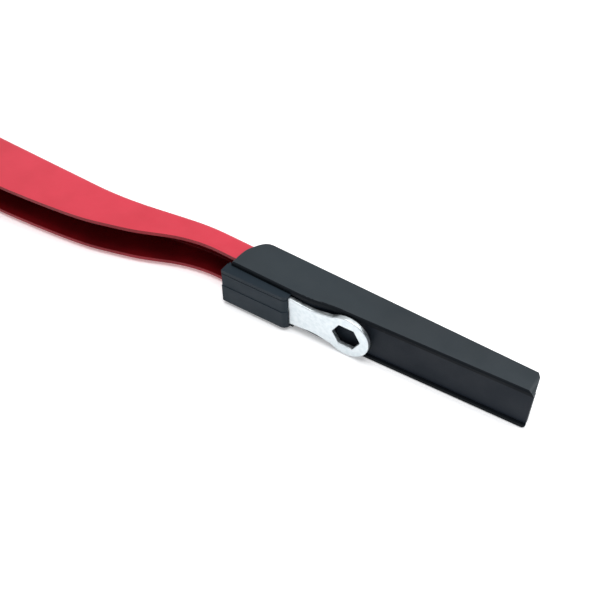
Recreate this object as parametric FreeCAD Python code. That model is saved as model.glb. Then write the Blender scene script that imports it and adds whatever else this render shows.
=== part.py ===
import FreeCAD, Part
import math
import os
from FreeCAD import Vector

# Hand riveter lying on its side, in millimetres.
# The pivot axis is the Z axis, the fixed handle runs along +X and the lever opens towards -Y.
# Everything is drawn about the tool's middle plane and lifted at the end, so z = 0 is the bench.

# ---- driving dimensions -------------------------------------------------------------------
grip_thickness = 20.1        # across the grips, the thickest part of the tool
sheet = 1.6                  # pressed steel sheet of both handles
bend_outside = 2.2           # outer radius where the sheet folds into a channel
bend_inside = 0.6

body_width = 16.1            # outside width of the fixed channel
lever_width = 12.4           # outside width of the lever channel, which nests in the fixed one
lever_open_angle = 57.0      # between the two handles, fully open
tip_radius = 13.0            # pivot to the centre of the lever's round finger ends
closing_angle = 45.0         # lever travel

head_x = -12.5               # axis of the head, along Y
bore_radius = 5.9            # head bore that guides the jaw case
case_radius = 5.8
neck_radius = 4.3
pivot_radius = 3.0
running = 0.03               # radial clearance of the lever on its pin

grip_start_x = 157.0         # where the straight back of the fixed grip begins
grip_back_y = 22.0           # back face of the fixed grip
lever_grip_start = 152.0     # the same two for the lever, along and across it
lever_grip_back = -17.1
grip_length = 114.0          # from the grip's start to the far corner of its slanted end
mouth_overhang = 6.8         # how far the mouth reaches back past the grip's start
grip_wall = 2.0              # wall behind the channel's web
panel_recess = 0.95          # inner panel below the edges of the grip shell
panel_thickness = 1.7

spanner_hex = 10.1           # across flats
nose_hex = 10.0
mandrel_bore = 1.5           # radius, takes the mandrel of a 4.8 mm rivet

mid_z = grip_thickness / 2
gap = body_width / 2 - sheet             # half the clear width between the fixed cheeks
lever_gap = lever_width / 2 - sheet      # half the clear width inside the lever
half_travel = math.radians(closing_angle / 2)
tip_rise = tip_radius * math.sin(half_travel)      # jaw travel is twice this
X = Vector(1, 0, 0)
Y = Vector(0, 1, 0)
Z = Vector(0, 0, 1)

os.makedirs("parts", exist_ok=True)


# ---- helpers ------------------------------------------------------------------------------
def save(name, shape):
    """Lift a finished piece from the middle plane to the bench and write it."""
    out = shape.copy()
    out.translate(Vector(0, 0, mid_z))
    if not out.isValid():
        raise RuntimeError("bad solid: " + name)
    out.exportStep("parts/" + name + ".step")
    print("%-22s %8.2f cm3" % (name, out.Volume / 1000))


def lines(points):
    """Straight edges through plan points."""
    vectors = [Vector(x, y, 0) for x, y in points]
    return [Part.LineSegment(a, b).toShape() for a, b in zip(vectors, vectors[1:])]


def curve(points, start, end):
    """One smooth edge through plan points, with its direction given at both ends."""
    spline = Part.BSplineCurve()
    spline.interpolate(Points=[Vector(x, y, 0) for x, y in points],
                       InitialTangent=Vector(*start, 0), FinalTangent=Vector(*end, 0))
    return [spline.toShape()]


def prism(edges, half_height, low=None):
    """Solid between -half_height and +half_height over a closed plan outline."""
    bottom = -half_height if low is None else low
    face = Part.Face(Part.Wire(edges))
    face.translate(Vector(0, 0, bottom))
    return face.extrude(Vector(0, 0, half_height - bottom))


def outline(points, half_height, low=None):
    return prism(lines(points + points[:1]), half_height, low)


def block(x0, x1, y0, y1, z0, z1):
    return Part.makeBox(x1 - x0, y1 - y0, z1 - z0, Vector(x0, y0, z0))


def rod(radius, y0, y1):
    """Cylinder on the head's axis."""
    return Part.makeCylinder(radius, y1 - y0, Vector(head_x, y0, 0), Y)


def cone(r0, r1, y0, y1):
    return Part.makeCone(r0, r1, y1 - y0, Vector(head_x, y0, 0), Y)


def tube(outer, inner, y0, y1):
    return rod(outer, y0, y1).cut(rod(inner, y0 - 1, y1 + 1))


def upright(radius, z0, z1, x=0.0, y=0.0):
    """Cylinder along Z."""
    return Part.makeCylinder(radius, z1 - z0, Vector(x, y, z0), Z)


def hexagon(across_flats, origin, direction, side, depth):
    """Hexagonal prism from origin along direction, one corner towards side."""
    across = direction.cross(side)
    radius = across_flats / math.sqrt(3)
    corners = []
    for i in range(7):
        angle = math.radians(60 * i)
        corners.append(origin + side * (radius * math.cos(angle)) + across * (radius * math.sin(angle)))
    return Part.Face(Part.makePolygon(corners)).extrude(direction * depth)


def shift(points, dx, dy):
    return [(x + dx, y + dy) for x, y in points]


def round_edges(shape, radius, wanted):
    return shape.makeFillet(radius, [e for e in shape.Edges if wanted(e)])


def on_height(edge, height):
    """True for an edge that lies flat at z = +height or -height."""
    box = edge.BoundBox
    return box.ZLength < 1e-4 and abs(abs(box.ZMin) - height) < 1e-4


# ---- pressed channels -----------------------------------------------------------------------
def first_point(edges):
    point = edges[0].Vertexes[0].Point
    return (point.x, point.y)


def last_point(edges):
    point = edges[-1].Vertexes[-1].Point
    return (point.x, point.y)


def smooth_edge(near_x, bend, beyond):
    """Along X from near_x to the bend, through it, then straight on through the points beyond."""
    return lines([(near_x, bend[0][1]), bend[0]]) + curve(bend, (1, 0), (1, 0)) + lines([bend[-1]] + beyond)


def closed(first, second, half_height):
    """Solid between two edge chains that both run from the pivot end to the grip end."""
    ends = lines([first_point(first), first_point(second)]) + lines([last_point(first), last_point(second)])
    return prism(Part.__sortEdges__(first + second + ends), half_height)


def folded(shape, web, half, radius):
    """Round the two long edges where the web meets the sides."""
    def on_web(edge):
        middle = edge.valueAt((edge.FirstParameter + edge.LastParameter) / 2)
        flat = Part.Vertex(Vector(middle.x, middle.y, 0))
        return on_height(edge, half) and any(e.distToShape(flat)[0] < 1e-3 for e in web)

    return round_edges(shape, radius, on_web)


def channel(web, rim, width, toward_rim):
    """U channel of bent sheet; toward_rim is +1 or -1, the way along Y from web to rim."""
    half = width / 2
    past = 4.0
    solid = folded(closed(web, rim, half), web, half, bend_outside)
    inner_web = [e.translated(Vector(0, toward_rim * sheet, 0)) for e in web]
    start = first_point(inner_web)
    end = last_point(inner_web)
    inner_web = (lines([(start[0] - past, start[1]), start]) + inner_web
                 + lines([end, (end[0] + past, end[1])]))
    open_y = toward_rim * 40.0
    open_side = lines([(start[0] - past, open_y), (end[0] + past, open_y)])
    hollow = closed(inner_web, open_side, half - sheet)
    return solid.cut(folded(hollow, inner_web, half - sheet, bend_inside))


# ---- grips ----------------------------------------------------------------------------------
# Grip outline in its own plan: along the handle from the start of the straight back, and
# "depth" from the back face towards the other handle.
back_depth = -0.45                   # the rounded back stands a little behind the plan's zero
mouth_curve = [(1.5, back_depth), (-2.6, 1.1), (-5.5, 5.6), (-mouth_overhang, 12.2)]
flare_depth = (16.5, 16.1)           # inner edge at the mouth and where the flare ends
flare_end = 24.5
waist = [(flare_end, 16.1), (33.0, 15.0), (42.0, 13.9)]
tail_depth = 9.35                    # inner edge at the far end
end_back = grip_length - 1.6         # far end at the back, shorter than at the inner edge
end_corner = 1.2
notch = (20.9, 44.0, 14.3)           # finger notch under the spanner: from, to, depth


start_slope = (flare_depth[1] - flare_depth[0]) / (flare_end + mouth_overhang)


def flare_at(x):
    return flare_depth[0] + start_slope * (x + mouth_overhang)


def grip_edge(offset, x_from, x_to):
    """Inner edge of the grip as edges, moved towards the back by offset."""
    slope = (tail_depth - waist[-1][1]) / (grip_length - waist[-1][0])
    first_depth = flare_at(x_from)
    last_depth = waist[-1][1] + slope * (x_to - waist[-1][0])
    moved = shift(waist, 0, -offset)
    return (lines([(x_from, first_depth - offset), moved[0]])
            + curve(moved, (1, start_slope), (1, slope))
            + lines([moved[-1], (x_to, last_depth - offset)]))


def grip_shell(channel_width, with_notch=False):
    """Shell closed on its back, both sides and its end, open along the inner side."""
    half = grip_thickness / 2
    inner = grip_edge(0, -mouth_overhang, grip_length)
    mouth = curve(mouth_curve, (-1, 0), (-0.04, 1))
    edges = (mouth + lines([mouth_curve[-1], first_point(inner)]) + inner
             + lines([last_point(inner), (end_back, end_corner), (end_back - end_corner, back_depth),
                      mouth_curve[0]]))
    solid = prism(Part.__sortEdges__(edges), half)
    solid = round_edges(solid, 0.8, lambda e: on_height(e, half))
    clear = channel_width / 2 + 0.15
    panel_half = half - 1.9
    end_wall = grip_length - 5.5
    hollow = block(-20, end_wall, grip_wall, 30, -clear, clear)
    seat = grip_edge(panel_recess + panel_thickness, -mouth_overhang - 5, grip_length + 5)
    below = lines([last_point(seat), (last_point(seat)[0], 30), (first_point(seat)[0], 30),
                   first_point(seat)])
    slot = prism(Part.__sortEdges__(seat + below), panel_half)
    if with_notch:
        solid = solid.cut(block(notch[0], notch[1], notch[2], 30, -half - 1, -panel_half))
    return solid.cut(hollow).cut(slot)


def grip_panel():
    """Inner face of the grip, a strip between the shell's side walls."""
    half = grip_thickness / 2 - 1.9 - 0.05
    top = grip_edge(panel_recess, -mouth_overhang + 0.2, grip_length - 0.3)
    under = grip_edge(panel_recess + panel_thickness, -mouth_overhang + 0.2, grip_length - 0.3)
    ends = lines([first_point(top), first_point(under)]) + lines([last_point(top), last_point(under)])
    return prism(Part.__sortEdges__(top + under + ends), half)


def place_body_grip(shape):
    """Grip plan to tool: depth runs towards -Y."""
    flipped = shape.mirror(Vector(0, 0, 0), Y)
    flipped.translate(Vector(grip_start_x, grip_back_y, 0))
    return flipped


def place_lever_grip(shape):
    moved = shape.copy()
    moved.translate(Vector(lever_grip_start, lever_grip_back, 0))
    return open_lever(moved)


def open_lever(shape):
    """Turn a lever piece, drawn along +X, to the fully open position."""
    turned = shape.copy()
    turned.rotate(Vector(0, 0, 0), Z, -lever_open_angle)
    return turned


# ---- fixed handle ---------------------------------------------------------------------------
body_web = [(74, 12.9), (90.7, 13.75), (104.3, 15.6), (117.5, 17.9), (128.5, 19.45), (140, 19.9)]
body_rim = [(15, -12.5), (40, -11.7), (62, -9.7), (76.1, -7.9), (85.1, -6.3), (97.8, -2.8),
            (106.2, -0.15), (116, 4.0), (124, 7.0), (133, 9.0), (143, 9.6)]
body_near = -22.5            # front ends of the cheeks, past the head
body_far = 250.0             # hidden end of the channel, inside the grip
cheek_corner = 4.0
web_start = -2.8             # the web stops here and leaves the cheeks to the head block
rivets = [(-20.1, 10.4), (-4.9, 10.4), (-20.1, -10.4)]
rivet_radius = 1.25


def body_channel():
    """Channel whose two cheeks reach past the pivot and hold the head block between them."""
    web = smooth_edge(body_near, body_web, [(body_far, body_web[-1][1])])
    rim = smooth_edge(body_near, body_rim, [(170, body_rim[-1][1]), (body_far, 14.5)])
    shape = channel(web, rim, body_width, -1)
    shape = shape.cut(block(body_near - 5, web_start, 10, 15, -gap, gap))
    for y, way in ((body_web[0][1], 1), (body_rim[0][1], -1)):
        centre_x = body_near + cheek_corner
        centre_y = y - way * cheek_corner
        low, high = sorted((centre_y, y + way))
        corner = block(body_near - 1, centre_x, low, high, -20, 20)
        shape = shape.cut(corner.cut(upright(cheek_corner, -30, 30, centre_x, centre_y)))
    for x, y in rivets:
        shape = shape.cut(upright(rivet_radius, -20, 20, x, y))
    return shape.cut(upright(pivot_radius, -20, 20))


def pivot_pieces():
    """Headed pin, with a washer and a retaining ring under the lower cheek."""
    cheek = body_width / 2
    washer = 0.8
    ring_top = -cheek - washer
    ring = 0.8
    pin = upright(pivot_radius, -mid_z, cheek)
    head = round_edges(upright(5.2, cheek, mid_z), 0.8, lambda e: on_height(e, mid_z))
    groove = upright(6, ring_top - ring - 0.05, ring_top - 0.01).cut(upright(2.4, -20, 0))
    retaining = upright(4.9, ring_top - ring, ring_top - 0.05).cut(upright(2.45, -20, 0))
    retaining = retaining.cut(block(0, 6, -1.6, 1.6, -20, 0))
    flat = upright(5.4, ring_top, -cheek).cut(upright(pivot_radius + 0.1, -20, 0))
    save("pivot_pin", pin.fuse(head).removeSplitter().cut(groove))
    save("pivot_washer", flat)
    save("pivot_circlip", retaining)


# ---- head -----------------------------------------------------------------------------------
window = 8.6                 # half the length of the lever's window in the head block
back_wall = 4.6              # how far behind the head's axis the window reaches
nose_face = 27.0             # front face of the head, where the nosepiece seats
rear_face = -23.0
cavity_end = 22.4
thread_radius = 3.5
hex_start = nose_face + 0.1
hex_end = hex_start + 4.6
nose_end = hex_end + 3.0
tube_radius = 2.2
spring_base = -20.5


def head_block():
    """Block between the cheeks, round in front and behind, with a window for the lever."""
    x0 = body_near + 0.5
    shape = block(x0, -3.2, 0, 12.4, -gap, gap).fuse(block(x0, head_x + 7.2, -12.4, 0, -gap, gap))
    front = rod(8.5, 12.0, nose_face)
    front = round_edges(front, 1.6, lambda e: e.BoundBox.YMin > nose_face - 1e-4)
    cheek_top = body_web[0][1] + 0.1
    cheek_bottom = body_rim[0][1] - 0.1
    rear = rod(7.2, rear_face, -12.0)
    for side in (1, -1):
        low, high = sorted((side * gap, side * 20))
        front = front.cut(block(-30, 10, 11, cheek_top, low, high))
        rear = rear.cut(block(-30, 10, cheek_bottom, -11, low, high))
    shape = shape.fuse([front, rear]).removeSplitter()
    shape = shape.cut(rod(bore_radius, rear_face - 1, cavity_end))
    shape = shape.cut(rod(thread_radius + 0.05, 0, nose_face + 1))
    shape = shape.cut(block(head_x - back_wall, 10, -window, window, -20, 20))
    for x, y in rivets:
        shape = shape.cut(upright(rivet_radius, -20, 20, x, y))
    return shape


def rivet_row():
    """Domed rivets through both cheeks and the head block."""
    reach = body_width / 2
    dome_height = 1.1
    dome_radius = 2.5
    solids = []
    for x, y in rivets:
        shank = upright(rivet_radius, -reach, reach, x, y)
        top = upright(dome_radius, reach, reach + dome_height, x, y)
        bottom = upright(dome_radius, -reach - dome_height, -reach, x, y)
        top = round_edges(top, 0.9, lambda e: on_height(e, reach + dome_height))
        bottom = round_edges(bottom, 0.9, lambda e: on_height(e, reach + dome_height))
        solids.append(shank.fuse([top, bottom]).removeSplitter())
    return Part.makeCompound(solids)


def nosepiece(bore):
    """Screw-in nosepiece on the head's axis: shank inside, hexagon and taper outside."""
    shank = rod(thread_radius, cavity_end, hex_start)
    inner = rod(2.5, cavity_end - 2.9, cavity_end)
    head = hexagon(nose_hex, Vector(head_x, hex_start, 0), Y, X, hex_end - hex_start)
    head = head.common(cone(7.2, 5.2, hex_start, hex_end)).common(rod(5.7, hex_start, hex_end))
    taper = cone(4.4, 3.1, hex_end, nose_end)
    shape = shank.fuse([inner, head, taper]).removeSplitter()
    return shape.cut(rod(bore, 0, nose_end + 1))


def jaw_carriage():
    """What the lever's fingers pull back: the case, its collar, both jaws and their pusher."""
    finger_face = tip_rise - 3.0 - 0.2          # collar face under the round finger ends
    case_back = tip_rise + 3.0 + 0.35
    case_front = 21.3
    cone_back = case_back + 2.2
    cone_start = 4.73
    cone_end = 3.0
    taper = (cone_start - cone_end) / (case_front - cone_back)
    case = rod(case_radius, case_back, case_front)
    case = round_edges(case, 0.5, lambda e: e.BoundBox.YLength < 1e-4 and e.BoundBox.ZLength > 11)
    case = case.cut(cone(cone_start, cone_end, cone_back, case_front))
    case = case.cut(rod(neck_radius, case_back - 1, cone_back)).cut(rod(cone_end, case_front - 1, 25))
    save("jaw_case", case)

    collar = rod(case_radius, finger_face - 3.0, finger_face)
    collar = collar.fuse(rod(neck_radius, finger_face - 1, cone_back)).removeSplitter()
    save("case_collar", collar.cut(rod(3.25, -10, 15)))

    jaw_back = cone_back + 1.6
    jaw_front = cavity_end - 2.9 - 0.2
    slack = 0.12
    jaw_bore = 2.0                              # open, clear of the thickest mandrel
    outer = [cone_start - slack - taper * (y - cone_back) for y in (jaw_back, jaw_front)]
    jaws = cone(outer[0], outer[1], jaw_back, jaw_front).cut(rod(jaw_bore, 0, 30))
    pitch = 1.1
    for i in range(5):
        tooth = jaw_back + 1.0 + pitch * i
        jaws = jaws.cut(cone(jaw_bore, jaw_bore + 0.35, tooth, tooth + 0.5))
    slit = 0.35
    save("jaw_near", jaws.common(block(head_x + slit, 0, 0, 30, -10, 10)))
    save("jaw_far", jaws.common(block(-40, head_x - slit, 0, 30, -10, 10)))

    pusher_front = jaw_back - 0.1
    seat_front = finger_face - 3.0 - 0.5
    seat_back = seat_front - 1.5
    pusher = rod(3.1, seat_back, cone_back + 0.1).fuse(rod(4.1, cone_back + 0.1, pusher_front))
    pusher = pusher.removeSplitter().cut(rod(2.6, seat_back - 1, cone_back - 0.6)).cut(rod(2.25, 0, 30))
    save("jaw_pusher", pusher)
    save("spring_seat", tube(5.2, 3.1, seat_back, seat_front))
    return seat_back


def return_spring(top):
    """Coil spring between the end cap and the spring seat."""
    wire = 0.35
    coil = 4.2
    height = top - spring_base - 2 * wire - 0.1
    turns = 6.5
    start = Vector(head_x, spring_base + wire + 0.05, 0)
    helix = Part.makeHelix(height / turns, height, coil)
    helix.rotate(Vector(0, 0, 0), X, -90)
    helix.translate(start)
    begin = helix.Edges[0].Vertexes[0].Point
    tangent = helix.Edges[0].tangentAt(helix.Edges[0].FirstParameter)
    section = Part.Wire(Part.makeCircle(wire, begin, tangent))
    return Part.Wire(helix.Edges).makePipeShell([section], True, True)


def head_end():
    """Screwed cap behind the head, with the tube that guides spent mandrels out."""
    cap = rod(6.9, rear_face - 2.4, rear_face)
    cap = round_edges(cap, 0.7, lambda e: e.BoundBox.YLength < 1e-4 and e.BoundBox.YMin < rear_face - 1)
    cap = cap.fuse(rod(bore_radius, rear_face, spring_base)).removeSplitter()
    save("head_end_cap", cap.cut(rod(tube_radius, -40, 0)))
    save("mandrel_tube", tube(tube_radius, 1.75, rear_face - 2.9, 1.0))


# ---- lever, drawn along +X and turned to its open position ------------------------------------
hub_radius = 8.4
finger_angle = 180 - closing_angle / 2 + lever_open_angle
lever_web = [(84, -8.4), (100, -9.7), (114, -12.4), (127, -14.4), (140, -15.0)]
lever_rim = [(20, 8.4), (51, 7.2), (84, 3.4), (107, -1.6), (124, -4.2), (140, -5.0)]
lever_far = 245.0
lever_web_start = 14.0
spare_places = [34.0, 48.0, 62.0]
spare_bores = [0.8, 1.05, 1.25]          # for 2.4, 3.2 and 4.0 mm rivets


def lever_channel():
    """Moving handle: a narrower channel whose cheeks end in two fingers beside the jaw case."""
    half = lever_width / 2
    web = smooth_edge(0, lever_web, [(lever_far, lever_web[-1][1])])
    rim = smooth_edge(0, lever_rim, [(165, lever_rim[-1][1]), (lever_far, -9.8)])
    shape = channel(web, rim, lever_width, 1)
    shape = shape.cut(block(-5, lever_web_start, -10, -6, -lever_gap, lever_gap))
    cheeks = []
    for z in (lever_gap, -half):
        hub = upright(hub_radius, z, z + sheet)
        arm = block(0, tip_radius, -1.5, 1.5, z, z + sheet)
        arm.rotate(Vector(0, 0, 0), Z, finger_angle)
        turn = math.radians(finger_angle)
        tip = upright(3.0, z, z + sheet, tip_radius * math.cos(turn), tip_radius * math.sin(turn))
        cheeks += [hub, arm, tip]
    shape = shape.fuse(cheeks).removeSplitter()
    for x in spare_places:
        hole = Part.makeCylinder(thread_radius, 6, Vector(x, lever_web[0][1] - 2, 0), Y)
        shape = shape.cut(hole)
    return shape.cut(upright(pivot_radius + running, -20, 20))


def spare_nosepiece(bore, x):
    """A nosepiece screwed into the lever's web from outside."""
    shape = nosepiece(bore)
    shape.translate(Vector(-head_x, -hex_start, 0))
    shape = shape.mirror(Vector(0, 0, 0), Y)
    shape.translate(Vector(x, lever_web[0][1], 0))
    return open_lever(shape)


# ---- spanner and its holder -------------------------------------------------------------------
spanner_tilt = 2.5                       # the spanner lies along the tapering grip
spanner_thickness = 2.0
ring_radius = 9.45
tail_half = 6.8                          # half the width of its shank
waist_half = 6.0
ring_along = 44.65                       # ring centre in the grip's plan
ring_depth = 16.41                       # depth of the ring's outer face there
holder_ends = (-8.9, 20.6)               # along the grip
holder_front = 20.9                      # depth of the holder's outer face at its closed end
holder_half = 8.5
holder_base_half = 8.05                  # its foot, between the grip's side walls
holder_foot_depth = 17.5
slot_start = -6.2
slot_half = 6.98
slot_clearance = 0.2                     # between the spanner's outer face and the front wall
seam_width = 0.4
seam_depth = 0.25


def spanner():
    """Stamped ring spanner, drawn round the ring's centre and laid against the grip."""
    tail = -49.5
    side = [(tail + 2.5, tail_half), (-24.0, tail_half)]
    flare = [side[-1], (-15.2, waist_half), (-7.4, 7.15), (-3.2, 8.891)]
    half_outline = (lines([(tail, 0), (tail, tail_half - 2.5)]) + lines([(tail, tail_half - 2.5)] + side)
                    + curve(flare, (1, 0), (1, 0.35)))
    mirrored = [e.mirror(Vector(0, 0, 0), Y) for e in half_outline]
    end = lines([(flare[-1][0], flare[-1][1]), (flare[-1][0], -flare[-1][1])])
    plate = Part.Face(Part.Wire(Part.__sortEdges__(half_outline + mirrored + end)))
    plate = plate.extrude(Vector(0, 0, spanner_thickness))
    ring = Part.makeCylinder(ring_radius, spanner_thickness)
    shape = plate.fuse(ring).removeSplitter()
    shape = shape.cut(hexagon(spanner_hex, Vector(0, 0, -1), Z, X, 5))
    shape = round_edges(shape, 0.3, lambda e: e.BoundBox.ZLength < 1e-4 and e.BoundBox.XLength > 12)
    shape.rotate(Vector(0, 0, 0), X, 90)
    shape.translate(Vector(0, spanner_thickness, 0))
    shape.rotate(Vector(0, 0, 0), Z, spanner_tilt)
    shape.translate(Vector(grip_start_x + ring_along, grip_back_y - ring_depth, 0))
    return shape


def holder_depth(x, depth, at):
    """Depth at x of a plane that lies along the tilted spanner and has the given depth at one x."""
    return depth - math.tan(math.radians(spanner_tilt)) * (x - at)


def spanner_holder():
    """Pocket on the panel: front wall, two sides and a closed end, open towards the ring."""
    x0, x1 = holder_ends
    beyond = x1 + 5
    front = [(x, holder_depth(x, holder_front, x0)) for x in (x1, x0)]
    base = outline([(x, flare_at(x) - panel_recess) for x in (x0, x1)] + front, holder_base_half)
    body = outline([(x, flare_at(x) + 0.1) for x in (x0, x1)] + front, holder_half)
    body = round_edges(body, 1.1, lambda e: e.BoundBox.YMin > holder_foot_depth + 1)
    foot = base.cut(outline(front + [(x0, holder_foot_depth), (x1, holder_foot_depth)], holder_half))
    body = body.fuse(foot).removeSplitter()
    slot_front = [(x, holder_depth(x, ring_depth, ring_along) + slot_clearance) for x in (beyond, slot_start)]
    slot = outline([(slot_start, 10), (beyond, 10)] + slot_front, slot_half)
    seam_floor = [(x, holder_depth(x, holder_front, x0) - seam_depth) for x in (x0 - 1, x1 + 1)]
    seam = outline(seam_floor + [(x1 + 1, 30), (x0 - 1, 30)], seam_width / 2)
    return body.cut(slot).cut(seam)


# ---- write every piece --------------------------------------------------------------------------
save("body_channel", body_channel())
save("body_grip", place_body_grip(grip_shell(body_width, True)))
save("body_grip_panel", place_body_grip(grip_panel()))
save("spanner_holder", place_body_grip(spanner_holder()))
save("spanner", spanner())
pivot_pieces()
save("head_block", head_block())
save("head_rivets", rivet_row())
head_end()
save("nosepiece", nosepiece(mandrel_bore))
spring_top = jaw_carriage()
save("return_spring", return_spring(spring_top))
save("lever_channel", open_lever(lever_channel()))
save("lever_bush", upright(4.2, -lever_gap, lever_gap).cut(upright(pivot_radius + running, -20, 20)))
save("lever_grip", place_lever_grip(grip_shell(lever_width)))
save("lever_grip_panel", place_lever_grip(grip_panel()))
for number, (bore, x) in enumerate(zip(spare_bores, spare_places), 1):
    save("nosepiece_spare_%d" % number, spare_nosepiece(bore, x))
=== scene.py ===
import math

import bpy
from mathutils import Matrix, Vector


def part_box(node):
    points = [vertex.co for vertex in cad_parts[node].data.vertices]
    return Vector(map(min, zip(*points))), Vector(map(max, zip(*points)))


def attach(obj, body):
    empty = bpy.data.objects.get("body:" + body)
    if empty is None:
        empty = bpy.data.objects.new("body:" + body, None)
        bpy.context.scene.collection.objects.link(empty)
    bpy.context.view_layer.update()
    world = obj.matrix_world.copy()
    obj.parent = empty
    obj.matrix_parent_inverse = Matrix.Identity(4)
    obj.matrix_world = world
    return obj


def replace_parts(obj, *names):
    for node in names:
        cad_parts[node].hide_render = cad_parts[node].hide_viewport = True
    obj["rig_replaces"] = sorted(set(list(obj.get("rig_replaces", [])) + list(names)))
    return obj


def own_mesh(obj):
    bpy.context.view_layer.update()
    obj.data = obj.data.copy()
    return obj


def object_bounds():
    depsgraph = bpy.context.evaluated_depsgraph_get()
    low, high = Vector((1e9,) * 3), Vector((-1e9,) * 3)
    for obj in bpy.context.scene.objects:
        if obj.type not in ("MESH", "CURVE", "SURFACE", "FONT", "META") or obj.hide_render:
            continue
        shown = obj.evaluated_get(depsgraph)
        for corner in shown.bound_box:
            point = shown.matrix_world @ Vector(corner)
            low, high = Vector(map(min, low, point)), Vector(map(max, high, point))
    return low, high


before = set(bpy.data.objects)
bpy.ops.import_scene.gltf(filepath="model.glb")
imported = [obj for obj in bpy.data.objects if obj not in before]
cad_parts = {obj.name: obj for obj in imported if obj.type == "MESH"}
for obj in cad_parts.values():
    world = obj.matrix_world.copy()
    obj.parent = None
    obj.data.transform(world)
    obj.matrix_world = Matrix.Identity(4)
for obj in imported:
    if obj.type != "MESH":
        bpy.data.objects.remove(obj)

cadLow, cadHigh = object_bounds()
mm = 0.001
slots = {}               # material slot of the record -> Blender material
print("frame loaded:", len(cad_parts), "nodes")


# ---- working in edit mode ----

def useOnly(piece):
    bpy.ops.object.select_all(action="DESELECT")
    piece.select_set(True)
    bpy.context.view_layer.objects.active = piece


def openMesh(piece):
    useOnly(piece)
    bpy.context.tool_settings.mesh_select_mode = (True, False, False)
    bpy.ops.object.mode_set(mode="EDIT")
    bpy.ops.mesh.select_all(action="SELECT")


def closeMesh():
    bpy.ops.object.mode_set(mode="OBJECT")


def pick(piece, kind, wanted):
    # kind is vertices, edges or polygons; wanted gets each one and its middle, and says yes or no
    if bpy.context.mode != "OBJECT":
        closeMesh()
    mesh = piece.data
    modes = ("vertices", "edges", "polygons")
    for group in modes:
        for part in getattr(mesh, group):
            part.select = False
    bpy.context.tool_settings.mesh_select_mode = [kind == mode for mode in modes]
    for part in getattr(mesh, kind):
        if kind == "vertices":
            at = part.co
        elif kind == "edges":
            at = (mesh.vertices[part.vertices[0]].co + mesh.vertices[part.vertices[1]].co) / 2
        else:
            at = part.center
        part.select = bool(wanted(part, at))
    useOnly(piece)
    bpy.ops.object.mode_set(mode="EDIT")


def tidyMesh(piece, mergeWithin=0.01 * mm):
    openMesh(piece)
    bpy.ops.mesh.remove_doubles(threshold=mergeWithin)
    bpy.ops.mesh.normals_make_consistent(inside=False)
    closeMesh()


def finishWith(piece, kind, **settings):
    useOnly(piece)
    modifier = piece.modifiers.new(kind.lower(), kind)
    for name, value in settings.items():
        setattr(modifier, name, value)
    bpy.ops.object.modifier_apply(modifier=modifier.name)


def softenEdges(piece, width, segments=2, sharperThan=35):
    finishWith(piece, "BEVEL", width=width * mm, segments=segments, limit_method="ANGLE",
               angle_limit=math.radians(sharperThan), use_clamp_overlap=True)


def combine(piece, tool, operation):
    # cut, keep or add the tool, which is used up
    finishWith(piece, "BOOLEAN", object=tool, operation=operation, solver="EXACT")
    bpy.data.objects.remove(tool, do_unlink=True)


def joinPieces(name, pieces):
    bpy.ops.object.select_all(action="DESELECT")
    for piece in pieces:
        piece.select_set(True)
    bpy.context.view_layer.objects.active = pieces[0]
    bpy.ops.object.join()
    pieces[0].name = name
    return pieces[0]


def settle(piece, place):
    # puts the place into the mesh and leaves the object at the origin
    useOnly(piece)
    piece.matrix_world = place
    bpy.ops.object.transform_apply(location=True, rotation=True, scale=True)


def box(name, low, high):
    # a cube between two corners, in millimetres
    centre = [(a + b) / 2 * mm for a, b in zip(low, high)]
    bpy.ops.mesh.primitive_cube_add(size=1, location=centre)
    piece = bpy.context.object
    piece.name = name
    piece.scale = [(b - a) * mm for a, b in zip(low, high)]
    bpy.ops.object.transform_apply(location=True, rotation=True, scale=True)
    return piece


def turned(name, profile, steps=48):
    # one vertex drawn out along the profile of (radius, height), then spun round Z
    bpy.ops.mesh.primitive_plane_add(size=mm, location=(0, 0, 0))
    piece = bpy.context.object
    piece.name = name
    openMesh(piece)
    bpy.ops.mesh.merge(type="CENTER")
    bpy.ops.transform.translate(value=(profile[0][0] * mm, 0, profile[0][1] * mm))
    for (r0, z0), (r1, z1) in zip(profile, profile[1:]):
        step = ((r1 - r0) * mm, 0, (z1 - z0) * mm)
        bpy.ops.mesh.extrude_vertices_move(TRANSFORM_OT_translate={"value": step})
    bpy.ops.mesh.select_all(action="SELECT")
    bpy.ops.mesh.spin(steps=steps, angle=2 * math.pi, center=(0, 0, 0), axis=(0, 0, 1))
    closeMesh()
    tidyMesh(piece)
    return piece


def hexRing(name, acrossFlats, hole, low, high):
    # hexagon outside, round hole inside, between two heights
    corner = acrossFlats / 2 / math.cos(math.radians(30))
    bpy.ops.mesh.primitive_circle_add(vertices=6, radius=corner * mm, location=(0, 0, low * mm),
                                      rotation=(0, 0, math.radians(30)))
    piece = bpy.context.object
    piece.name = name
    bpy.ops.object.transform_apply(location=True, rotation=True, scale=True)
    openMesh(piece)
    bpy.ops.mesh.primitive_circle_add(vertices=36, radius=hole * mm, location=(0, 0, low * mm))
    bpy.ops.mesh.select_all(action="SELECT")
    bpy.ops.mesh.bridge_edge_loops()
    bpy.ops.mesh.select_all(action="SELECT")
    bpy.ops.mesh.extrude_region_move(TRANSFORM_OT_translate={"value": (0, 0, (high - low) * mm)})
    closeMesh()
    tidyMesh(piece)
    return piece


def mergedCopy(node, name):
    # a copy of a CAD node whose loose triangles are joined into clean faces
    piece = bpy.data.objects.new(name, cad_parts[node].data.copy())
    bpy.context.scene.collection.objects.link(piece)
    piece.data.materials.clear()
    openMesh(piece)
    bpy.ops.mesh.remove_doubles(threshold=0.002 * mm)
    bpy.ops.mesh.dissolve_limited(angle_limit=math.radians(0.6))
    closeMesh()
    return piece


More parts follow.
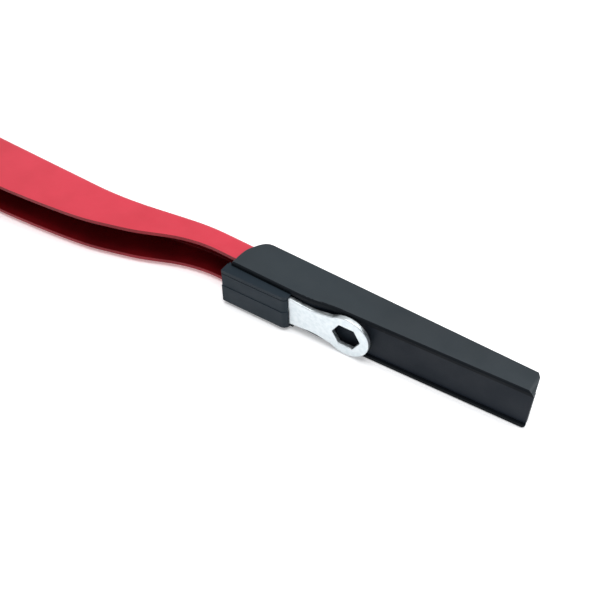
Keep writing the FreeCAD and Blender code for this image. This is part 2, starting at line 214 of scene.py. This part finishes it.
def cadCopy(node, name, edge, segments=2):
    piece = mergedCopy(node, name)
    softenEdges(piece, edge, segments)
    return piece


def handOver(piece, body, slot, *nodes, smoothUnder=32):
    # shading, material, the body it rides on and the CAD nodes it stands for
    useOnly(piece)
    bpy.ops.object.shade_smooth_by_angle(angle=math.radians(smoothUnder))
    finishWith(piece, "WEIGHTED_NORMAL", weight=100, keep_sharp=True)
    piece.data.materials.clear()
    piece.data.materials.append(slots[slot])
    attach(piece, body)
    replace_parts(piece, *nodes)


# ---- camera, light and floor ----

studio = {
    "cameraAt": (0.3083, -0.1795, 0.2593),
    "azimuth": 34.38,
    "elevation": 47.09,
    "lens": 54.0,
    "floorSize": 40.0,
    "floorColour": (0.93, 0.93, 0.935, 1),
    "floorGlow": 0.22,                       # a light table, so that contact shadows stay faint
    "skyColour": (0.96, 0.98, 1.0, 1),
    "skyStrength": 0.55,
    "overhead": {"at": (0.22, -0.02, 0.95), "size": 0.6, "watts": 7.5},
    "key": {"at": (0.75, 0.45, 0.70), "size": 0.4, "watts": 2.0},
    "fill": {"at": (0.75, -0.65, 0.45), "size": 0.5, "watts": 0.4},
}


def areaLight(name, at, size, watts, lookAt=(0.12, 0.0, 0.01)):
    bpy.ops.object.light_add(type="AREA", location=at)
    lamp = bpy.context.object
    lamp.name = name
    lamp.data.size = size
    lamp.data.energy = watts
    lamp.rotation_euler = (Vector(lookAt) - Vector(at)).to_track_quat("-Z", "Y").to_euler()
    return lamp


def makeStudio(studio):
    tilt = (math.radians(90 - studio["elevation"]), 0, math.radians(studio["azimuth"]))
    bpy.ops.object.camera_add(location=studio["cameraAt"], rotation=tilt)
    camera = bpy.context.object
    camera.data.lens = studio["lens"]
    camera.data.sensor_width = 36.0
    camera.data.clip_start = 0.01
    scene = bpy.context.scene
    scene.camera = camera
    scene.view_settings.view_transform = "Standard"
    for name in ("overhead", "key", "fill"):
        areaLight(name, **studio[name])
    world = bpy.data.worlds.new("softSky")
    world.use_nodes = True
    sky = world.node_tree.nodes["Background"]
    sky.inputs["Color"].default_value = studio["skyColour"]
    sky.inputs["Strength"].default_value = studio["skyStrength"]
    scene.world = world
    bpy.ops.mesh.primitive_plane_add(size=studio["floorSize"], location=(0, 0, 0))
    floor = bpy.context.object
    floor.name = "benchTop"
    paper = bpy.data.materials.new("paleCard")
    paper.use_nodes = True
    shader = paper.node_tree.nodes["Principled BSDF"]
    shader.inputs["Base Color"].default_value = studio["floorColour"]
    shader.inputs["Emission Color"].default_value = studio["floorColour"]
    shader.inputs["Emission Strength"].default_value = studio["floorGlow"]
    shader.inputs["Roughness"].default_value = 0.9
    floor.data.materials.append(paper)


makeStudio(studio)
print("camera, lights and floor ready")


# ---- materials ----

def newMaterial(slot):
    material = bpy.data.materials.new(slot + "Finish")
    material.use_nodes = True
    slots[slot] = material
    nodes = material.node_tree.nodes
    return nodes, material.node_tree.links, nodes["Principled BSDF"]


def objectNoise(nodes, links, scale, detail=3.0, stretch=(1, 1, 1)):
    place = nodes.new("ShaderNodeTexCoord")
    mapping = nodes.new("ShaderNodeMapping")
    mapping.inputs["Scale"].default_value = stretch
    noise = nodes.new("ShaderNodeTexNoise")
    noise.inputs["Scale"].default_value = scale
    noise.inputs["Detail"].default_value = detail
    links.new(place.outputs["Object"], mapping.inputs["Vector"])
    links.new(mapping.outputs["Vector"], noise.inputs["Vector"])
    return noise.outputs["Fac"]


def spread(nodes, links, source, low, high, fromLow=0.35, fromHigh=0.65):
    remap = nodes.new("ShaderNodeMapRange")
    remap.inputs["From Min"].default_value = fromLow
    remap.inputs["From Max"].default_value = fromHigh
    remap.inputs["To Min"].default_value = low
    remap.inputs["To Max"].default_value = high
    links.new(source, remap.inputs["Value"])
    return remap.outputs["Result"]


def twoTone(nodes, links, source, first, second, low=0.35, high=0.65):
    ramp = nodes.new("ShaderNodeValToRGB")
    ramp.color_ramp.elements[0].position = low
    ramp.color_ramp.elements[0].color = (*first, 1)
    ramp.color_ramp.elements[1].position = high
    ramp.color_ramp.elements[1].color = (*second, 1)
    links.new(source, ramp.inputs["Fac"])
    return ramp.outputs["Color"]


def addBump(nodes, links, shader, height, distance, strength=1.0, under=None):
    bump = nodes.new("ShaderNodeBump")
    bump.inputs["Strength"].default_value = strength
    bump.inputs["Distance"].default_value = distance
    links.new(height, bump.inputs["Height"])
    if under is not None:
        links.new(under, bump.inputs["Normal"])
    links.new(bump.outputs["Normal"], shader.inputs["Normal"])
    return bump.outputs["Normal"]


def redEnamel(slot, thick, thin, coat, shine=0.5):
    # sprayed and baked: very slightly cloudy colour, soft orange peel, clear gloss on top
    nodes, links, shader = newMaterial(slot)
    cloud = objectNoise(nodes, links, 55, 4)
    links.new(twoTone(nodes, links, cloud, thin, thick), shader.inputs["Base Color"])
    links.new(spread(nodes, links, objectNoise(nodes, links, 160, 5), 0.30, 0.42), shader.inputs["Roughness"])
    shader.inputs["Specular IOR Level"].default_value = shine
    shader.inputs["Coat Weight"].default_value = coat
    shader.inputs["Coat Roughness"].default_value = 0.18
    peel = objectNoise(nodes, links, 1300, 2)
    wave = addBump(nodes, links, shader, objectNoise(nodes, links, 240, 2), 0.00004, 0.6)
    addBump(nodes, links, shader, peel, 0.000012, 0.7, wave)


def gripPlastic(slot, dark, light, roughLow, roughHigh, specular):
    # spark-eroded mould grain, with faint flow clouds and handling polish
    nodes, links, shader = newMaterial(slot)
    cloud = objectNoise(nodes, links, 38, 4, (0.5, 1, 1))
    links.new(twoTone(nodes, links, cloud, dark, light), shader.inputs["Base Color"])
    links.new(spread(nodes, links, objectNoise(nodes, links, 90, 6), roughLow, roughHigh), shader.inputs["Roughness"])
    shader.inputs["Specular IOR Level"].default_value = specular
    swell = addBump(nodes, links, shader, objectNoise(nodes, links, 420, 2), 0.00005, 0.5)
    addBump(nodes, links, shader, objectNoise(nodes, links, 3600, 3), 0.00003, 0.8, swell)


def platedSteel(slot, dull, bright, roughLow, roughHigh, grain, pits):
    # tumbled and plated sheet: mottled tone, small dents, dull patches
    nodes, links, shader = newMaterial(slot)
    mottle = objectNoise(nodes, links, grain, 8)
    links.new(twoTone(nodes, links, mottle, dull, bright, 0.38, 0.58), shader.inputs["Base Color"])
    shader.inputs["Metallic"].default_value = 1.0
    links.new(spread(nodes, links, objectNoise(nodes, links, grain * 1.7, 6), roughLow, roughHigh), shader.inputs["Roughness"])
    dents = addBump(nodes, links, shader, objectNoise(nodes, links, grain * 0.8, 3), pits, 0.7)
    addBump(nodes, links, shader, objectNoise(nodes, links, 2800, 3), pits * 0.2, 0.6, dents)


def turnedSteel(slot, dull, bright, roughLow, roughHigh):
    # fine tool marks round the head's axis under a satin plate
    nodes, links, shader = newMaterial(slot)
    tone = objectNoise(nodes, links, 260, 5)
    links.new(twoTone(nodes, links, tone, dull, bright), shader.inputs["Base Color"])
    shader.inputs["Metallic"].default_value = 1.0
    links.new(spread(nodes, links, objectNoise(nodes, links, 500, 4, (1, 0.2, 1)), roughLow, roughHigh), shader.inputs["Roughness"])
    marks = objectNoise(nodes, links, 180, 4, (0.6, 22, 0.6))
    addBump(nodes, links, shader, marks, 0.000012, 0.5)


redEnamel("red_paint", (0.572, 0.027, 0.052), (0.520, 0.022, 0.043), 0.3)
# painted shade: near-black red for the inside of the channel
redEnamel("painted_shade_red", (0.14, 0.004, 0.006), (0.085, 0.0025, 0.004), 0.0, 0.12)
# painted shade: darker red for the sheet's front-facing edges
redEnamel("painted_shade_edge_red", (0.26, 0.018, 0.026), (0.19, 0.013, 0.019), 0.0, 0.12)
gripPlastic("black_grip", (0.0095, 0.0155, 0.0205), (0.0135, 0.0215, 0.0275), 0.40, 0.52, 0.42)
platedSteel("zinc_plate", (0.60, 0.655, 0.68), (0.675, 0.72, 0.74), 0.34, 0.50, 560, 0.00003)
turnedSteel("zinc_head", (0.50, 0.50, 0.51), (0.66, 0.66, 0.67), 0.24, 0.38)
platedSteel("dark_steel", (0.035, 0.035, 0.038), (0.075, 0.075, 0.08), 0.34, 0.5, 300, 0.00002)
turnedSteel("spring_steel", (0.33, 0.34, 0.36), (0.46, 0.47, 0.50), 0.22, 0.34)
gripPlastic("black_inlay", (0.006, 0.0095, 0.015), (0.009, 0.013, 0.020), 0.48, 0.62, 0.13)
# painted shade: near-black plastic for the grip's rim and the inside of its shell
gripPlastic("painted_shade_black", (0.0030, 0.0045, 0.0065), (0.0045, 0.0065, 0.0090), 0.55, 0.70, 0.08)
gripPlastic("black_pocket", (0.010, 0.0165, 0.0235), (0.0135, 0.0215, 0.0295), 0.46, 0.60, 0.13)
print("materials ready:", ", ".join(slots))


# ---- pressed arms and moulded grips ----

middle = (cadLow.z + cadHigh.z) / 2 / mm     # height of the tool's middle plane
leverTurn = math.radians(-57.0)              # how far the lever stands open

shells = {
    "sheet": 1.6,
    "sheetEdge": 0.28,
    "gripEdge": 0.3,
    "inlayEdge": 0.25,
    "seamWidth": 0.5,
    "seamDepth": 0.1,
    "seamReach": 9.0,                        # how far round the mouth the seam is followed
    "endCorner": 2.6,                        # rounding at the far end of a grip
    "endClear": 0.02,
}


def sinkSeam(grip, outward):
    # the mould's parting line, a shallow groove along the middle of the grip's back
    low = (middle - shells["seamWidth"] / 2) * mm
    high = (middle + shells["seamWidth"] / 2) * mm
    for height in (low, high):
        openMesh(grip)
        bpy.ops.mesh.bisect(plane_co=(0, 0, height), plane_no=(0, 0, 1))
        closeMesh()
    back = max(Vector(corner.co).dot(outward) for corner in grip.data.vertices)
    pick(grip, "polygons", lambda face, at: low < at.z < high and face.normal.dot(outward) > 0.25
         and back - at.dot(outward) < shells["seamReach"] * mm)
    bpy.ops.mesh.extrude_region_shrink_fatten(
        TRANSFORM_OT_shrink_fatten={"value": -shells["seamDepth"] * mm})
    closeMesh()


def roundEnd(piece, turn, reach):
    # keeps what lies inside a bar with two rounded corners, laid along the grip
    clear = shells["endClear"]
    low, high = cadLow.z / mm - clear, cadHigh.z / mm + clear
    bar = box("endTool", (reach - 200, -60, low), (reach + clear, 60, high))
    pick(bar, "edges", lambda edge, at: at.x > reach * mm and abs(at.z - middle * mm) > 9 * mm)
    bpy.ops.mesh.bevel(offset=shells["endCorner"] * mm, segments=6)
    closeMesh()
    settle(bar, Matrix.Rotation(turn, 4, "Z"))
    combine(piece, bar, "INTERSECT")


def shadeChannelInside(arm, back):
    # painted shade: the inside of the channel takes a near-black red, and the sheet's front-facing raw edges a darker
    # red, in place of the shade that falls there
    arm.data.materials.append(slots["painted_shade_red"])
    arm.data.materials.append(slots["painted_shade_edge_red"])
    low, high = [corner[2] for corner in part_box(arm["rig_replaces"][0])]
    halfGap = (high - low) / 2 - shells["sheet"] * mm
    for face in arm.data.polygons:
        offset = face.center.z - middle * mm
        inGap = abs(offset) < halfGap
        facesAcross = face.normal.z * offset < 0 and abs(face.normal.z) > 0.5
        # painted shade on the faces inside the channel
        if facesAcross or (inGap and face.normal.dot(back) < -0.2):
            face.material_index = 1
        # painted shade on the sheet's front-facing rims
        elif not inGap and face.normal.dot(back) < -0.6:
            face.material_index = 2


def darkenInside(grip, back):
    # painted shade: the rim and the inside of the shell take a near-black plastic in place of the shade there, which
    # also hides the rim's highlight
    grip.data.materials.append(slots["painted_shade_black"])
    for face in grip.data.polygons:
        offset = face.center.z - middle * mm
        facesAcross = face.normal.z * offset < 0 and abs(face.normal.z) > 0.5
        face.material_index = int(facesAcross or face.normal.dot(back) < -0.12)


def makeHandles():
    bodyBack = Vector((0, 1, 0))
    leverBack = Matrix.Rotation(leverTurn, 3, "Z") @ Vector((0, -1, 0))
    for node, name, body, back in (("body_channel", "fixedArm", "frame", bodyBack),
                                   ("lever_channel", "leverArm", "lever", leverBack)):
        arm = cadCopy(node, name, shells["sheetEdge"])
        handOver(arm, body, "red_paint", node)
        shadeChannelInside(arm, back)
    print("arms ready")
    for prefix, name, body, back, turn in (("body", "fixedGrip", "frame", bodyBack, 0),
                                           ("lever", "leverGrip", "lever", leverBack, leverTurn)):
        grip = mergedCopy(prefix + "_grip", name)
        along = Matrix.Rotation(turn, 3, "Z") @ Vector((1, 0, 0))
        reach = max(corner.co.dot(along) for corner in grip.data.vertices) / mm
        roundEnd(grip, turn, reach)
        softenEdges(grip, shells["gripEdge"])
        sinkSeam(grip, back)
        handOver(grip, body, "black_grip", prefix + "_grip")
        darkenInside(grip, back)
        inlay = mergedCopy(prefix + "_grip_panel", name + "Inlay")
        roundEnd(inlay, turn, reach)
        softenEdges(inlay, shells["inlayEdge"])
        handOver(inlay, body, "black_grip", prefix + "_grip_panel")
        inlay.data.materials[0] = slots["black_inlay"]
    print("grips ready")


# ---- spanner and its pocket ----

spannerSizes = {
    "ring": 9.45,
    "hexagon": 10.1,
    "thickness": 2.0,
    "tail": -49.5,
    "joinsAt": -6.0,                         # where the shank leaves the ring
    "joinWidth": 7.305,
    # along the shank: distance from the ring's centre, half its width
    "shank": [(-9.9, 6.55), (-12.4, 6.1), (-15.2, 6.0), (-19.0, 6.3), (-23.5, 6.8), (-46.9, 6.8),
              (-48.7, 6.1), (-49.5, 4.3)],
    "rolledEdge": 0.42,
}
spannerTilt = math.radians(2.5)


def ringCentre():
    # from the spanner's box: its far edge is the ring, its lowest y is the tail
    low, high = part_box("spanner")
    tilt = Vector((math.cos(spannerTilt), math.sin(spannerTilt)))
    return Vector((high[0] - spannerSizes["ring"] * mm * tilt.x,
                   low[1] - spannerSizes["tail"] * mm * tilt.y, (low[2] + high[2]) / 2))


def makeSpanner(sizes):
    # a ring with a hexagon hole, its left arc drawn out into the shank, then given thickness
    bpy.ops.mesh.primitive_circle_add(vertices=64, radius=sizes["ring"] * mm, location=(0, 0, 0))
    spanner = bpy.context.object
    spanner.name = "ringSpanner"
    openMesh(spanner)
    bpy.ops.mesh.primitive_circle_add(vertices=6, location=(0, 0, 0), rotation=(0, 0, math.radians(30)),
                                      radius=sizes["hexagon"] / math.sqrt(3) * mm)
    bpy.ops.mesh.select_all(action="SELECT")
    bpy.ops.mesh.bridge_edge_loops()
    rim = sizes["ring"] * mm * 0.99
    pick(spanner, "edges", lambda edge, at: at.x < sizes["joinsAt"] * mm and at.length > rim)
    width = sizes["joinWidth"]
    for along, halfWidth in sizes["shank"]:
        bpy.ops.mesh.extrude_region_move(TRANSFORM_OT_translate={"value": (0, 0, 0)})
        bpy.ops.transform.resize(value=(0, halfWidth / width, 1), center_override=(0, 0, 0))
        bpy.ops.transform.translate(value=(along * mm, 0, 0))
        width = halfWidth
    bpy.ops.mesh.select_all(action="SELECT")
    bpy.ops.mesh.dissolve_limited(angle_limit=math.radians(1))
    bpy.ops.mesh.extrude_region_move(
        TRANSFORM_OT_translate={"value": (0, 0, sizes["thickness"] * mm)})
    closeMesh()
    tidyMesh(spanner)
    softenEdges(spanner, sizes["rolledEdge"], 3, 25)
    settle(spanner, Matrix.Translation(ringCentre()) @ Matrix.Rotation(spannerTilt, 4, "Z")
           @ Matrix.Translation((0, sizes["thickness"] * mm, 0)) @ Matrix.Rotation(math.pi / 2, 4, "X"))
    handOver(spanner, "spanner", "zinc_plate", "spanner", smoothUnder=40)


pocketSizes = {
    "footDepth": 1.2,
    "footInset": 0.45,
    "corner": 1.0,
    "mouthCorner": 2.3,                      # the front wall's edge beside the ring
    "bandRaise": 0.25,                       # the lower half of the cover stands this much proud
    "lipHigh": 1.75,                         # top and bottom lips, each above a fine groove
    "grooveWide": 0.34,
    "grooveDeep": 0.32,
    "slotHalf": 6.98,
    "slotStart": -50.85,                     # from the ring's centre, along the spanner
    "slotClear": 0.2,
    "rawEdge": 0.15,
}


def cutAcross(piece, *heights):
    for height in heights:
        openMesh(piece)
        bpy.ops.mesh.bisect(plane_co=(0, 0, height * mm), plane_no=(0, 0, 1))
        closeMesh()


def makePocket(sizes):
    low, high = [corner / mm for corner in map(Vector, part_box("spanner_holder"))]
    rise = (high.x - low.x) * math.tan(spannerTilt)    # the front follows the tilted spanner
    back = high.y - sizes["footDepth"]
    proud = sizes["bandRaise"]
    pocket = box("spannerPocket", (low.x + proud, low.y + proud, low.z + proud), (high.x - proud, back, high.z - proud))
    pick(pocket, "vertices", lambda corner, at: at.x > (low.x + 1) * mm and at.y < (back - 1) * mm)
    bpy.ops.transform.translate(value=(0, rise * mm, 0))
    # foot between the grip's side walls
    pick(pocket, "polygons", lambda face, at: face.normal.y > 0.9)
    bpy.ops.mesh.inset(thickness=(sizes["footInset"] - proud) * mm, depth=0)
    bpy.ops.mesh.extrude_region_move(
        TRANSFORM_OT_translate={"value": (0, sizes["footDepth"] * mm, 0)})
    # front corners, a large one at the mouth
    pick(pocket, "edges", lambda edge, at: at.x > (high.x - 1) * mm and at.y < (back - 1) * mm
         and abs(at.z - middle * mm) < mm)
    bpy.ops.mesh.bevel(offset=sizes["mouthCorner"] * mm, segments=3)
    slant = Vector((-math.sin(spannerTilt), math.cos(spannerTilt), 0))
    start = Vector(((low.x + proud) * mm, (low.y + proud) * mm, 0))
    closeMesh()
    softenEdges(pocket, sizes["corner"], 4, 50)
    # grooves under the lips and the raised band between the middle and the lower groove
    top = high.z - proud - sizes["lipHigh"]
    wide = sizes["grooveWide"]
    cutAcross(pocket, top, top - wide, middle)
    behind = 2.6 * mm
    pick(pocket, "polygons", lambda face, at: (top - wide) * mm < at.z < top * mm
         and abs(face.normal.z) < 0.5 and (at - start).dot(slant) < behind)
    bpy.ops.mesh.extrude_region_shrink_fatten(
        TRANSFORM_OT_shrink_fatten={"value": -sizes["grooveDeep"] * mm})
    closeMesh()
    pick(pocket, "polygons", lambda face, at: at.z < middle * mm and (at - start).dot(slant) < behind)
    bpy.ops.mesh.extrude_region_shrink_fatten(TRANSFORM_OT_shrink_fatten={"value": proud * mm})
    closeMesh()
    slot = box("slotTool", (sizes["slotStart"], -sizes["slotClear"], -sizes["slotHalf"]),
               (0, 14, sizes["slotHalf"]))
    settle(slot, Matrix.Translation(ringCentre()) @ Matrix.Rotation(spannerTilt, 4, "Z"))
    tidyMesh(pocket)
    combine(pocket, slot, "DIFFERENCE")
    softenEdges(pocket, sizes["rawEdge"], 2, 40)
    handOver(pocket, "frame", "black_grip", "spanner_holder")
    pocket.data.materials[0] = slots["black_pocket"]


# ---- turned parts ----

def facingForward(x, y):
    # local Z to the tool's +Y
    return Matrix.Translation((x * mm, y * mm, middle * mm)) @ Matrix.Rotation(-math.pi / 2, 4, "X")


def dome(radius, height, steps=6):
    # from the crown down to the rim
    angles = [math.pi / 2 * i / steps for i in range(steps + 1)]
    return [(radius * math.sin(a), height * math.cos(a)) for a in angles]


noseSizes = {
    "hexagon": 10.0,
    "hexHigh": 4.6,
    "noseRoot": 4.4,
    "noseTip": 3.1,
    "noseHigh": 3.0,
    "thread": 3.5,
    "threadRoot": 3.0,
    "pitch": 0.8,
    "threadTurns": 5,
    "spigot": 2.5,
    "spigotEnd": -7.6,
    "shankEnd": -4.7,
    "headX": -12.5,
    "spareAlong": (34.0, 48.0, 62.0),        # along the lever
    "spareBores": (0.8, 1.05, 1.25),
    "leverWeb": -8.4,
    "bore": 1.5,
}


def threadedNose(name, bore, sizes):
    # bore, spigot, thread and rounded tip turned in one, with a chamfered hexagon pushed on
    end, shank, top = sizes["spigotEnd"], sizes["shankEnd"], sizes["hexHigh"] + sizes["noseHigh"]
    profile = [(bore, end), (sizes["spigot"] - 0.3, end), (sizes["spigot"], end + 0.3),
               (sizes["spigot"], shank), (sizes["threadRoot"], shank)]
    for turn in range(sizes["threadTurns"]):
        height = shank + 0.15 + sizes["pitch"] * turn
        profile += [(sizes["threadRoot"], height), (sizes["thread"], height + 0.32),
                    (sizes["thread"], height + 0.42), (sizes["threadRoot"], height + 0.74)]
    slope = (sizes["noseRoot"] - sizes["noseTip"]) / sizes["noseHigh"]
    profile += [(sizes["threadRoot"], 0.02), (sizes["noseRoot"], 0.02),
                (sizes["noseRoot"], sizes["hexHigh"]), (sizes["noseTip"] + slope * 0.5, top - 0.5),
                (sizes["noseTip"] - 0.12, top - 0.16), (sizes["noseTip"] - 0.5, top),
                (bore + 0.35, top), (bore, top - 0.3), (bore, end)]
    core = turned(name, profile)
    corner = 5.7
    ring = hexRing(name + "Hex", sizes["hexagon"], sizes["noseRoot"] - 0.4, 0, sizes["hexHigh"])
    chamfer = turned("chamferTool", [(0, 0), (corner - 0.4, 0), (corner, 0.35), (corner, 3.75),
                                     (5.0, sizes["hexHigh"]), (0, sizes["hexHigh"])])
    combine(ring, chamfer, "INTERSECT")
    return joinPieces(name, [core, ring])


def makeNosepieces(sizes):
    low, high = [corner / mm for corner in map(Vector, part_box("nosepiece"))]
    seat = high.y - sizes["hexHigh"] - sizes["noseHigh"]
    nose = threadedNose("fittedNosepiece", sizes["bore"], sizes)
    settle(nose, facingForward(sizes["headX"], seat))
    handOver(nose, "nosepiece", "zinc_plate", "nosepiece")
    lever = Matrix.Rotation(leverTurn, 4, "Z")
    outward = Matrix.Rotation(math.pi / 2, 4, "X")
    for number, (along, bore) in enumerate(zip(sizes["spareAlong"], sizes["spareBores"]), 1):
        spare = threadedNose("spareNosepiece%d" % number, bore, sizes)
        place = Matrix.Translation((along * mm, sizes["leverWeb"] * mm, middle * mm))
        settle(spare, lever @ place @ outward)
        handOver(spare, "lever", "zinc_plate", "nosepiece_spare_%d" % number)
    print("nosepieces ready")


capSizes = {
    "rim": 6.9,
    "plug": 5.85,
    "hole": 2.22,
    "knurls": 36,
    "knurlDepth": 0.035,                     # share of the rim's radius
}


def makeEndCap(sizes):
    low, high = [corner / mm for corner in map(Vector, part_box("head_end_cap"))]
    rearFace = low.y + 2.4
    rim, hole, plug = sizes["rim"], sizes["hole"], sizes["plug"]
    cap = turned("endCap", [(hole, rearFace - high.y), (plug - 0.4, rearFace - high.y),
                            (plug, rearFace - high.y + 0.4), (plug, 0), (rim - 0.4, 0), (rim, 0.3),
                            (rim, 1.85), (rim - 0.55, 2.4), (4.6, 2.4), (4.4, 2.15), (3.0, 2.15),
                            (2.8, 2.4), (hole + 0.2, 2.4), (hole, 2.2), (hole, rearFace - high.y)],
                 steps=sizes["knurls"] * 2)
    step = math.pi / sizes["knurls"]
    pick(cap, "vertices", lambda corner, at: math.hypot(at.x, at.y) > (rim - 0.2) * mm
         and round(math.atan2(at.y, at.x) / step) % 2 == 1)
    shrink = 1 - sizes["knurlDepth"]
    bpy.ops.transform.resize(value=(shrink, shrink, 1), center_override=(0, 0, 0))
    closeMesh()
    turnBack = Matrix.Translation((noseSizes["headX"] * mm, rearFace * mm, middle * mm))
    settle(cap, turnBack @ Matrix.Rotation(math.pi / 2, 4, "X"))
    handOver(cap, "frame", "zinc_head", "head_end_cap", smoothUnder=20)


pinSizes = {
    "shank": 3.0,
    "head": 5.2,
    "headHigh": 2.0,
    "groove": 2.4,
    "grooveFrom": 0.36,
    "grooveTo": 1.17,
    "dimple": 1.9,
}


def makePivotPin(sizes):
    low, high = [corner / mm for corner in map(Vector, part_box("pivot_pin"))]
    under = high.z - sizes["headHigh"]
    shank, head = sizes["shank"], sizes["head"]
    profile = [(0, 0), (shank - 0.35, 0), (shank, 0.3), (sizes["groove"], sizes["grooveFrom"]),
               (sizes["groove"], sizes["grooveTo"]), (shank, sizes["grooveTo"] + 0.02), (shank, under),
               (head - 0.15, under), (head, under + 0.2), (head, under + 0.9), (head - 0.2, under + 1.4),
               (head - 0.7, under + 1.78), (head - 1.6, high.z - 0.05), (sizes["dimple"] + 0.5, high.z),
               (sizes["dimple"], high.z - 0.12), (sizes["dimple"] * 0.6, high.z - 0.45), (0, high.z - 0.55)]
    pin = turned("pivotPin", profile, 56)
    handOver(pin, "frame", "zinc_plate", "pivot_pin")


rivetSizes = {
    "shank": 1.25,
    "dome": 2.5,
    "domeHigh": 1.1,
}


def makeRivets(sizes):
    low, high = [corner / mm for corner in map(Vector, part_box("head_rivets"))]
    reach = (high.z - low.z) / 2 - sizes["domeHigh"]
    over = [(r, reach + z) for r, z in dome(sizes["dome"], sizes["domeHigh"])]
    under = [(r, -z) for r, z in over]
    profile = under + [(sizes["shank"], -reach), (sizes["shank"], reach)] + over[::-1]
    left, right = low.x + 2.7, high.x - 2.7
    front, rear = high.y - 2.7, low.y + 2.7
    rivets = []
    for x, y in ((left, front), (right, front), (left, rear)):
        rivet = turned("rivet", profile, 32)
        settle(rivet, Matrix.Translation((x * mm, y * mm, middle * mm)))
        rivets.append(rivet)
    handOver(joinPieces("headRivets", rivets), "frame", "zinc_plate", "head_rivets", smoothUnder=40)


springSizes = {
    "wire": 0.35,
    "coil": 4.2,
    "pointsPerTurn": 24,
    "closedTurns": 1.0,                      # at each end, wire against wire
    "openTurns": 6.0,
}


def makeSpring(sizes):
    # one vertex drawn out along the coil, made a wire, its first and last turns closed
    low, high = [corner / mm for corner in map(Vector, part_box("return_spring"))]
    wire = sizes["wire"]
    travel = high.y - low.y - 2 * wire
    closedRise = 2 * wire * sizes["closedTurns"]
    openRise = travel - 2 * closedRise
    turns = 2 * sizes["closedTurns"] + sizes["openTurns"]
    count = round(turns * sizes["pointsPerTurn"])
    points = []
    for i in range(count + 1):
        turn = i / sizes["pointsPerTurn"]
        closedLow = min(turn, sizes["closedTurns"]) / sizes["closedTurns"]
        closedHigh = max(0, turn - sizes["closedTurns"] - sizes["openTurns"]) / sizes["closedTurns"]
        share = min(max(0, turn - sizes["closedTurns"]), sizes["openTurns"]) / sizes["openTurns"]
        height = low.y + wire + closedRise * (closedLow + closedHigh) + openRise * share
        angle = 2 * math.pi * turn
        points.append(Vector((sizes["coil"] * math.cos(angle) + noseSizes["headX"], height,
                              sizes["coil"] * math.sin(angle) + middle)) * mm)
    bpy.ops.mesh.primitive_plane_add(size=mm, location=(0, 0, 0))
    spring = bpy.context.object
    spring.name = "returnSpring"
    openMesh(spring)
    bpy.ops.mesh.merge(type="CENTER")
    bpy.ops.transform.translate(value=points[0])
    for before, after in zip(points, points[1:]):
        bpy.ops.mesh.extrude_vertices_move(TRANSFORM_OT_translate={"value": after - before})
    closeMesh()
    useOnly(spring)
    bpy.ops.object.convert(target="CURVE")
    spring.data.bevel_depth = wire * mm
    spring.data.bevel_resolution = 2
    spring.data.use_fill_caps = True
    bpy.ops.object.convert(target="MESH")
    tidyMesh(spring, 0.001 * mm)
    handOver(spring, "frame", "spring_steel", "return_spring", smoothUnder=50)
    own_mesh(spring)


def makeHead():
    handOver(cadCopy("head_block", "headBlock", 0.25), "frame", "zinc_head", "head_block")
    handOver(cadCopy("jaw_case", "jawCase", 0.12), "jaw_carriage", "dark_steel", "jaw_case")
    handOver(cadCopy("case_collar", "caseCollar", 0.15), "jaw_carriage", "dark_steel", "case_collar")
    handOver(cadCopy("pivot_washer", "pivotWasher", 0.1), "frame", "zinc_plate", "pivot_washer")
    handOver(cadCopy("pivot_circlip", "pivotCirclip", 0.08), "frame", "dark_steel", "pivot_circlip")
    print("head ready")


makeHandles()
makeSpanner(spannerSizes)
makePocket(pocketSizes)
print("spanner and pocket ready")
makeNosepieces(noseSizes)
makeEndCap(capSizes)
makePivotPin(pinSizes)
makeRivets(rivetSizes)
makeSpring(springSizes)
makeHead()
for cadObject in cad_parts.values():    # the CAD nodes that stay take the same finishes
    for place in cadObject.material_slots:
        place.material = slots[place.material.name]
print("turned parts ready")
